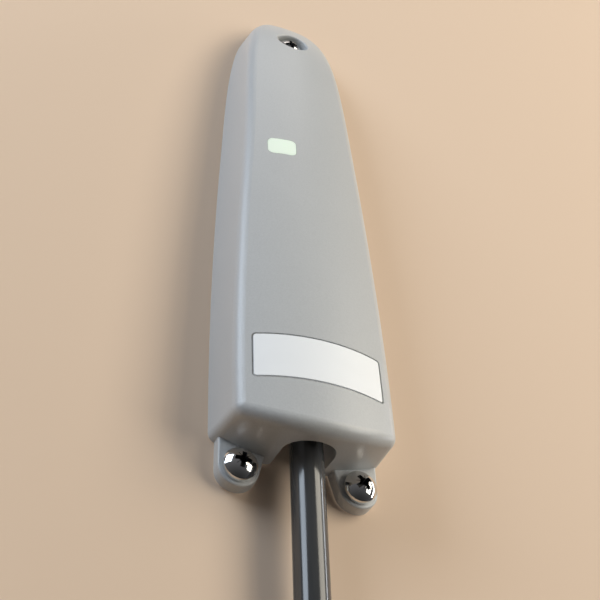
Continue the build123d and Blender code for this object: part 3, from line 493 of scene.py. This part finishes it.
def tapered_bar(work, across, low, high, top, bottom, foot_share):
    """A bar across the axis, from low to high along it, that narrows towards its bottom."""
    ring = []
    for level, share in ((top, 1.0), (bottom, foot_share)):
        middle = (low + high) / 2
        half = (high - low) / 2 * share
        width = across / 2 * (1 - side_taper + side_taper * share)
        left, right = middle - half, middle + half
        spots = ((left, -width), (right, -width), (right, width), (left, width))
        ring.append([work.verts.new((u, level, v)) for u, v in spots])
    work.faces.new(ring[0])
    work.faces.new(reversed(ring[1]))
    for index in range(4):
        after = (index + 1) % 4
        work.faces.new((ring[0][after], ring[0][index], ring[1][index], ring[1][after]))


def cross_cutters(turn):
    """Solids about the origin, turned by so many radians, that cut the driver recess.

    They are two slots, a pit at their crossing and four fine ticks between the slots' arms.
    """
    pit = slot_span * pit_share
    solids = []
    for angle in (0, 90):
        solids.append((slot_width, -slot_span / 2, slot_span / 2, slot_depth, slot_foot_share, angle))
    solids.append((pit, -pit / 2, pit / 2, slot_depth, slot_foot_share, 45))
    for angle in (45, 135, 225, 315):
        solids.append((tick_width, tick_start, tick_end, tick_depth, tick_foot_share, angle))
    made = []
    for width, low, high, depth, share, angle in solids:
        work = bmesh.new()
        tapered_bar(work, width, low, high, -cutter_rise, depth, share)
        bmesh.ops.recalc_face_normals(work, faces=work.faces)
        bmesh.ops.rotate(work, verts=work.verts, matrix=Matrix.Rotation(math.radians(angle) + turn, 3, "Y"))
        mesh = bpy.data.meshes.new("cutter")
        work.to_mesh(mesh)
        work.free()
        made.append(mesh)
    return made


def cut_away(mesh, cutters):
    """The mesh with each cutter taken off it."""
    solid = bpy.data.objects.new("solid", mesh)
    scene.collection.objects.link(solid)
    tools = []
    for cutter in cutters:
        tool = bpy.data.objects.new("tool", cutter)
        scene.collection.objects.link(tool)
        tools.append(tool)
        step = solid.modifiers.new("cut", "BOOLEAN")
        step.operation = "DIFFERENCE"
        step.solver = "EXACT"
        step.object = tool
    bpy.context.view_layer.update()
    seen = solid.evaluated_get(bpy.context.evaluated_depsgraph_get())
    result = bpy.data.meshes.new_from_object(seen)
    for used in (solid, *tools):
        bpy.data.objects.remove(used)
    return result


def mark_recess_shade(mesh, radius):
    """Sets the "recess" attribute to 1 on the faces that lie under the dome's surface, which get the painted
    shade.
    """
    sphere = dome_sphere(radius)
    marks = mesh.color_attributes.new("recess", "FLOAT_COLOR", "CORNER")
    for face in mesh.polygons:
        x, depth, z = face.center
        r = math.hypot(x, z)
        inside = False
        if r < slot_span / 2 and depth < slot_depth + recess_slack:
            inside = depth > sphere - math.sqrt(sphere**2 - r**2) + recess_margin
        for corner in face.loop_indices:
            marks.data[corner].color = (float(inside),) * 3 + (1.0,)


def wall_screw(name, turn):
    """A wall screw in the place of its CAD node, its recess turned by so many degrees."""
    low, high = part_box(name)
    axis = (low + high) / 2
    radius = (high.x - low.x) / 2
    thread_start = head_height + plain_shank
    thread_end = high.y - low.y
    work = bmesh.new()

    def point_at(r, depth, j):
        angle = 2 * math.pi * j / around
        return work.verts.new((r * math.cos(angle), depth, r * math.sin(angle)))

    def ring_at(r, depth):
        return [point_at(r, depth, j) for j in range(around)]

    def bridge(first, second):
        for j in range(around):
            after = (j + 1) % around
            work.faces.new((first[j], first[after], second[after], second[j]))

    profile = dome(radius - dome_inset)
    profile += [(radius, head_height - rim_height + edge_round_depth)]
    profile += [(radius, head_height - seat_round_depth)]
    profile += [(seat_radius, head_height), (neck_radius, head_height)]
    rings = [ring_at(r, depth) for r, depth in profile]
    top = work.verts.new((0, 0, 0))
    for j in range(around):
        work.faces.new((top, rings[0][(j + 1) % around], rings[0][j]))
    for first, second in zip(rings, rings[1:]):
        bridge(first, second)

    # the thread's rows climb one pitch in each turn, so that they follow the helix
    turns = math.ceil((thread_end - thread_start) / thread_pitch) + 1

    def radius_at(row, depth):
        share = (row % thread_steps) / thread_steps
        off_crest = max(0.0, abs(share - 0.5) - crest_share / 2)
        ridge = max(0.0, 1 - off_crest / flank_share)
        fade = min(1.0, (depth - thread_start) / thread_run_out, (thread_end - depth) / (2 * screw_point))
        to_point = min(1.0, (thread_end - depth) / screw_point)
        into = min(1.0, (depth - thread_start) / thread_run_out)
        core = neck_radius + (thread_core - neck_radius) * into
        core = point_radius + (core - point_radius) * to_point
        return core + (thread_radius - thread_core) * ridge * max(0.0, fade) * to_point

    rows = []
    for row in range((turns + 1) * thread_steps + 1):
        line = []
        for j in range(around):
            depth = thread_start + (row / thread_steps - 1 + j / around) * thread_pitch
            depth = min(max(depth, thread_start), thread_end)
            line.append(point_at(radius_at(row, depth), depth, j))
        rows.append(line)
    last = len(rows) - 1
    for row in range(last):
        for j in range(around):
            if j + 1 < around:
                right, right_next = rows[row][j + 1], rows[row + 1][j + 1]
            else:
                right = rows[min(row + thread_steps, last)][0]
                right_next = rows[min(row + 1 + thread_steps, last)][0]
            corners = [rows[row][j], right, right_next, rows[row + 1][j]]
            if len({tuple(round(x, 9) for x in v.co) for v in corners}) > 2:
                work.faces.new(list(dict.fromkeys(corners)))
    first_row = ring_at(neck_radius, thread_start)
    bridge(rings[-1], first_row)
    end_ring = ring_at(point_radius, thread_end)
    work.faces.new(end_ring)
    bmesh.ops.remove_doubles(work, verts=work.verts, dist=merge_distance)
    bmesh.ops.dissolve_degenerate(work, dist=sliver_length, edges=work.edges)
    bmesh.ops.recalc_face_normals(work, faces=work.faces)
    mesh = bpy.data.meshes.new(name)
    work.to_mesh(mesh)
    work.free()
    mesh = cut_away(mesh, cross_cutters(math.radians(-turn)))
    mark_recess_shade(mesh, radius - dome_inset)
    mesh.transform(Matrix.Translation((axis.x, low.y, axis.z)))
    made = piece(f"{name}_threaded", mesh, "screw_steel", name)
    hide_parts(name)
    return made


for name, turn in (("top_wall_screw", 12.0), ("left_wall_screw", -8.0), ("right_wall_screw", -52.0)):
    wall_screw(name, turn)


# ---- Free cable: down from the notch, put away in a two-layer coil, and on to the soil probe -----
coil_middle = Vector((0.056, 0, -0.251))
rear_layer, front_layer = -0.0052, -0.0130
outer_turn, inner_turn = 0.056, 0.03455
layer_turns, climb_turns = 2.75, 0.5
cable_radius = 0.0039
turn_points = 16             # of the spline in each turn
spread = 1 / math.cos(math.pi / turn_points)   # the spline runs inside its points by this much


def coil_point(turns, radius, layer):
    """The coil's place after so many turns from its left end."""
    angle = math.pi + 2 * math.pi * turns
    return (
        coil_middle.x + spread * radius * math.cos(angle),
        layer,
        coil_middle.z + spread * radius * math.sin(angle),
    )


def coil_points():
    """The coil's turns: inwards in the rear layer, over to the front layer, and outwards again."""
    whole = 2 * layer_turns + climb_turns
    points = []
    for index in range(1, round(whole * turn_points)):
        turns = index / turn_points
        inwards = min(turns, layer_turns) / layer_turns
        outwards = max(0.0, turns - layer_turns - climb_turns) / layer_turns
        radius = outer_turn + (inner_turn - outer_turn) * (inwards - outwards)
        over = min(1.0, max(0.0, (turns - layer_turns) / climb_turns))
        points.append(coil_point(turns, radius, rear_layer + (front_layer - rear_layer) * over))
    return points


# down from the notch to the coil's left end, round the coil, and down from there to the probe
cable_exit = (0, -0.00755, -0.1402)
route = [
    cable_exit,
    (0, -0.00755, -0.1900),
    (0, rear_layer, -0.2380),
    *coil_points(),
    (0, front_layer, -0.2620),
    (0, -0.0129, -0.2735),
    (0, front_layer, -0.2850),
]
curve = bpy.data.curves.new("free_cable", "CURVE")
curve.dimensions = "3D"
curve.bevel_depth = cable_radius
curve.bevel_resolution = 8
curve.use_fill_caps = True
line = curve.splines.new("NURBS")
line.points.add(len(route) - 1)
for point, place in zip(line.points, route):
    point.co = (*place, 1)
line.order_u = 3
line.use_endpoint_u = True
line.resolution_u = 6
curve.materials.append(finishes["cable_jacket"].material)
cable = bpy.data.objects.new("free_cable", curve)
scene.collection.objects.link(cable)
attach(cable, "root")
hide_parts("probe_cable", "probe_lead", "cable_coil")


# ---- Stage: a plain wall and floor, and studio light --------------------------------------------
# The part is lit by the wall's colour too, but not by the floor's.
housing_middle = centre_of("front_housing")
part_low = Vector(cad_box[0])


def plain(name, colour, see_through_back):
    """A matt stage colour. With see_through_back it is clear when seen from its back."""
    material = bpy.data.materials.new(name)
    material.use_nodes = True
    tree = material.node_tree
    shader = tree.nodes["Principled BSDF"]
    shader.inputs["Base Color"].default_value = (*colour, 1)
    shader.inputs["Roughness"].default_value = 0.9
    shader.inputs["Specular IOR Level"].default_value = 0.1
    if see_through_back:
        clear = tree.nodes.new("ShaderNodeBsdfTransparent")
        side = tree.nodes.new("ShaderNodeNewGeometry")
        mix = tree.nodes.new("ShaderNodeMixShader")
        tree.links.new(side.outputs["Backfacing"], mix.inputs[0])
        tree.links.new(shader.outputs[0], mix.inputs[1])
        tree.links.new(clear.outputs[0], mix.inputs[2])
        tree.links.new(mix.outputs[0], tree.nodes["Material Output"].inputs["Surface"])
    return material


def backdrop(name, corners, colour, see_through_back=False, lights_the_part=True):
    """A flat stage surface that casts no shadow, and lights the part only if asked to."""
    mesh = bpy.data.meshes.new(name)
    mesh.from_pydata(corners, [], [(0, 1, 2, 3)])
    made = bpy.data.objects.new(name, mesh)
    scene.collection.objects.link(made)
    made.data.materials.append(plain(name, colour, see_through_back))
    made.visible_shadow = False
    made.visible_diffuse = lights_the_part
    made.visible_glossy = lights_the_part
    return made


stage_reach = 2.0
wall_gap = 0.0004            # behind the housing's back
floor_height = part_low.z - 0.05
backdrop(
    "wall",
    [
        (-stage_reach, wall_gap, floor_height),
        (stage_reach, wall_gap, floor_height),
        (stage_reach, wall_gap, stage_reach),
        (-stage_reach, wall_gap, stage_reach),
    ],
    (0.74, 0.57, 0.43),
    see_through_back=True,
)
backdrop(
    "floor",
    [
        (-stage_reach, -stage_reach, floor_height),
        (stage_reach, -stage_reach, floor_height),
        (stage_reach, stage_reach, floor_height),
        (-stage_reach, stage_reach, floor_height),
    ],
    (0.58, 0.565, 0.54),
    lights_the_part=False,
)


def soft_box(name, direction, distance, size, radiance, colour):
    """A rectangular lamp, (width, height) across, that faces the housing from a direction."""
    data = bpy.data.lights.new(name, "AREA")
    data.shape = "RECTANGLE"
    data.size, data.size_y = size
    data.energy = radiance * math.pi * size[0] * size[1]
    data.color = colour
    made = bpy.data.objects.new(name, data)
    scene.collection.objects.link(made)
    towards = Vector(direction).normalized()
    made.location = housing_middle + distance * towards
    made.rotation_euler = towards.to_track_quat("Z", "Y").to_euler()
    return made


# the wall casts no shadow, so the last box behind it lights the part's back
soft_box("left_box", (-0.77, -0.40, 0.50), 0.75, (0.40, 0.55), 6.6, (0.76, 0.87, 1.0))
soft_box("right_box", (0.66, -0.67, 0.31), 1.35, (0.80, 0.80), 5.3, (1.0, 0.93, 0.79))
soft_box("low_box", (0.72, -0.66, -0.20), 0.90, (0.34, 0.34), 6.2, (1.0, 0.99, 0.93))
soft_box("right_strip", (0.985, -0.165, 0.10), 0.60, (0.06, 0.60), 9.0, (0.95, 0.97, 1.0))
soft_box("top_box", (0.0, -0.44, 0.90), 0.90, (0.50, 0.40), 1.2, (1.0, 0.93, 0.88))
soft_box("back_box", (0.0, 1.0, 0.0), 3.0, (0.6, 0.6), 30.0, (1.0, 1.0, 1.0))

# a dim sky, lighter towards its top, lights the part; the camera sees a plain pale colour
world = bpy.data.worlds.new("studio")
world.use_nodes = True
scene.world = world
tree = world.node_tree
background = tree.nodes["Background"]
direction = tree.nodes.new("ShaderNodeTexCoord")
parts = tree.nodes.new("ShaderNodeSeparateXYZ")
tree.links.new(direction.outputs["Generated"], parts.inputs[0])
sky = tree.nodes.new("ShaderNodeValToRGB")
rise = tree.nodes.new("ShaderNodeMapRange")
rise.inputs["From Min"].default_value = -1.0
tree.links.new(parts.outputs["Z"], rise.inputs["Value"])
tree.links.new(rise.outputs[0], sky.inputs[0])
sky.color_ramp.elements[0].color = (0.02, 0.02, 0.02, 1)
sky.color_ramp.elements[1].color = (0.16, 0.16, 0.17, 1)
seen = tree.nodes.new("ShaderNodeLightPath")
mix = tree.nodes.new("ShaderNodeMix")
mix.data_type = "RGBA"
tree.links.new(seen.outputs["Is Camera Ray"], mix.inputs[0])
tree.links.new(sky.outputs[0], mix.inputs[6])
mix.inputs[7].default_value = (0.80, 0.78, 0.75, 1)
tree.links.new(mix.outputs[2], background.inputs["Color"])
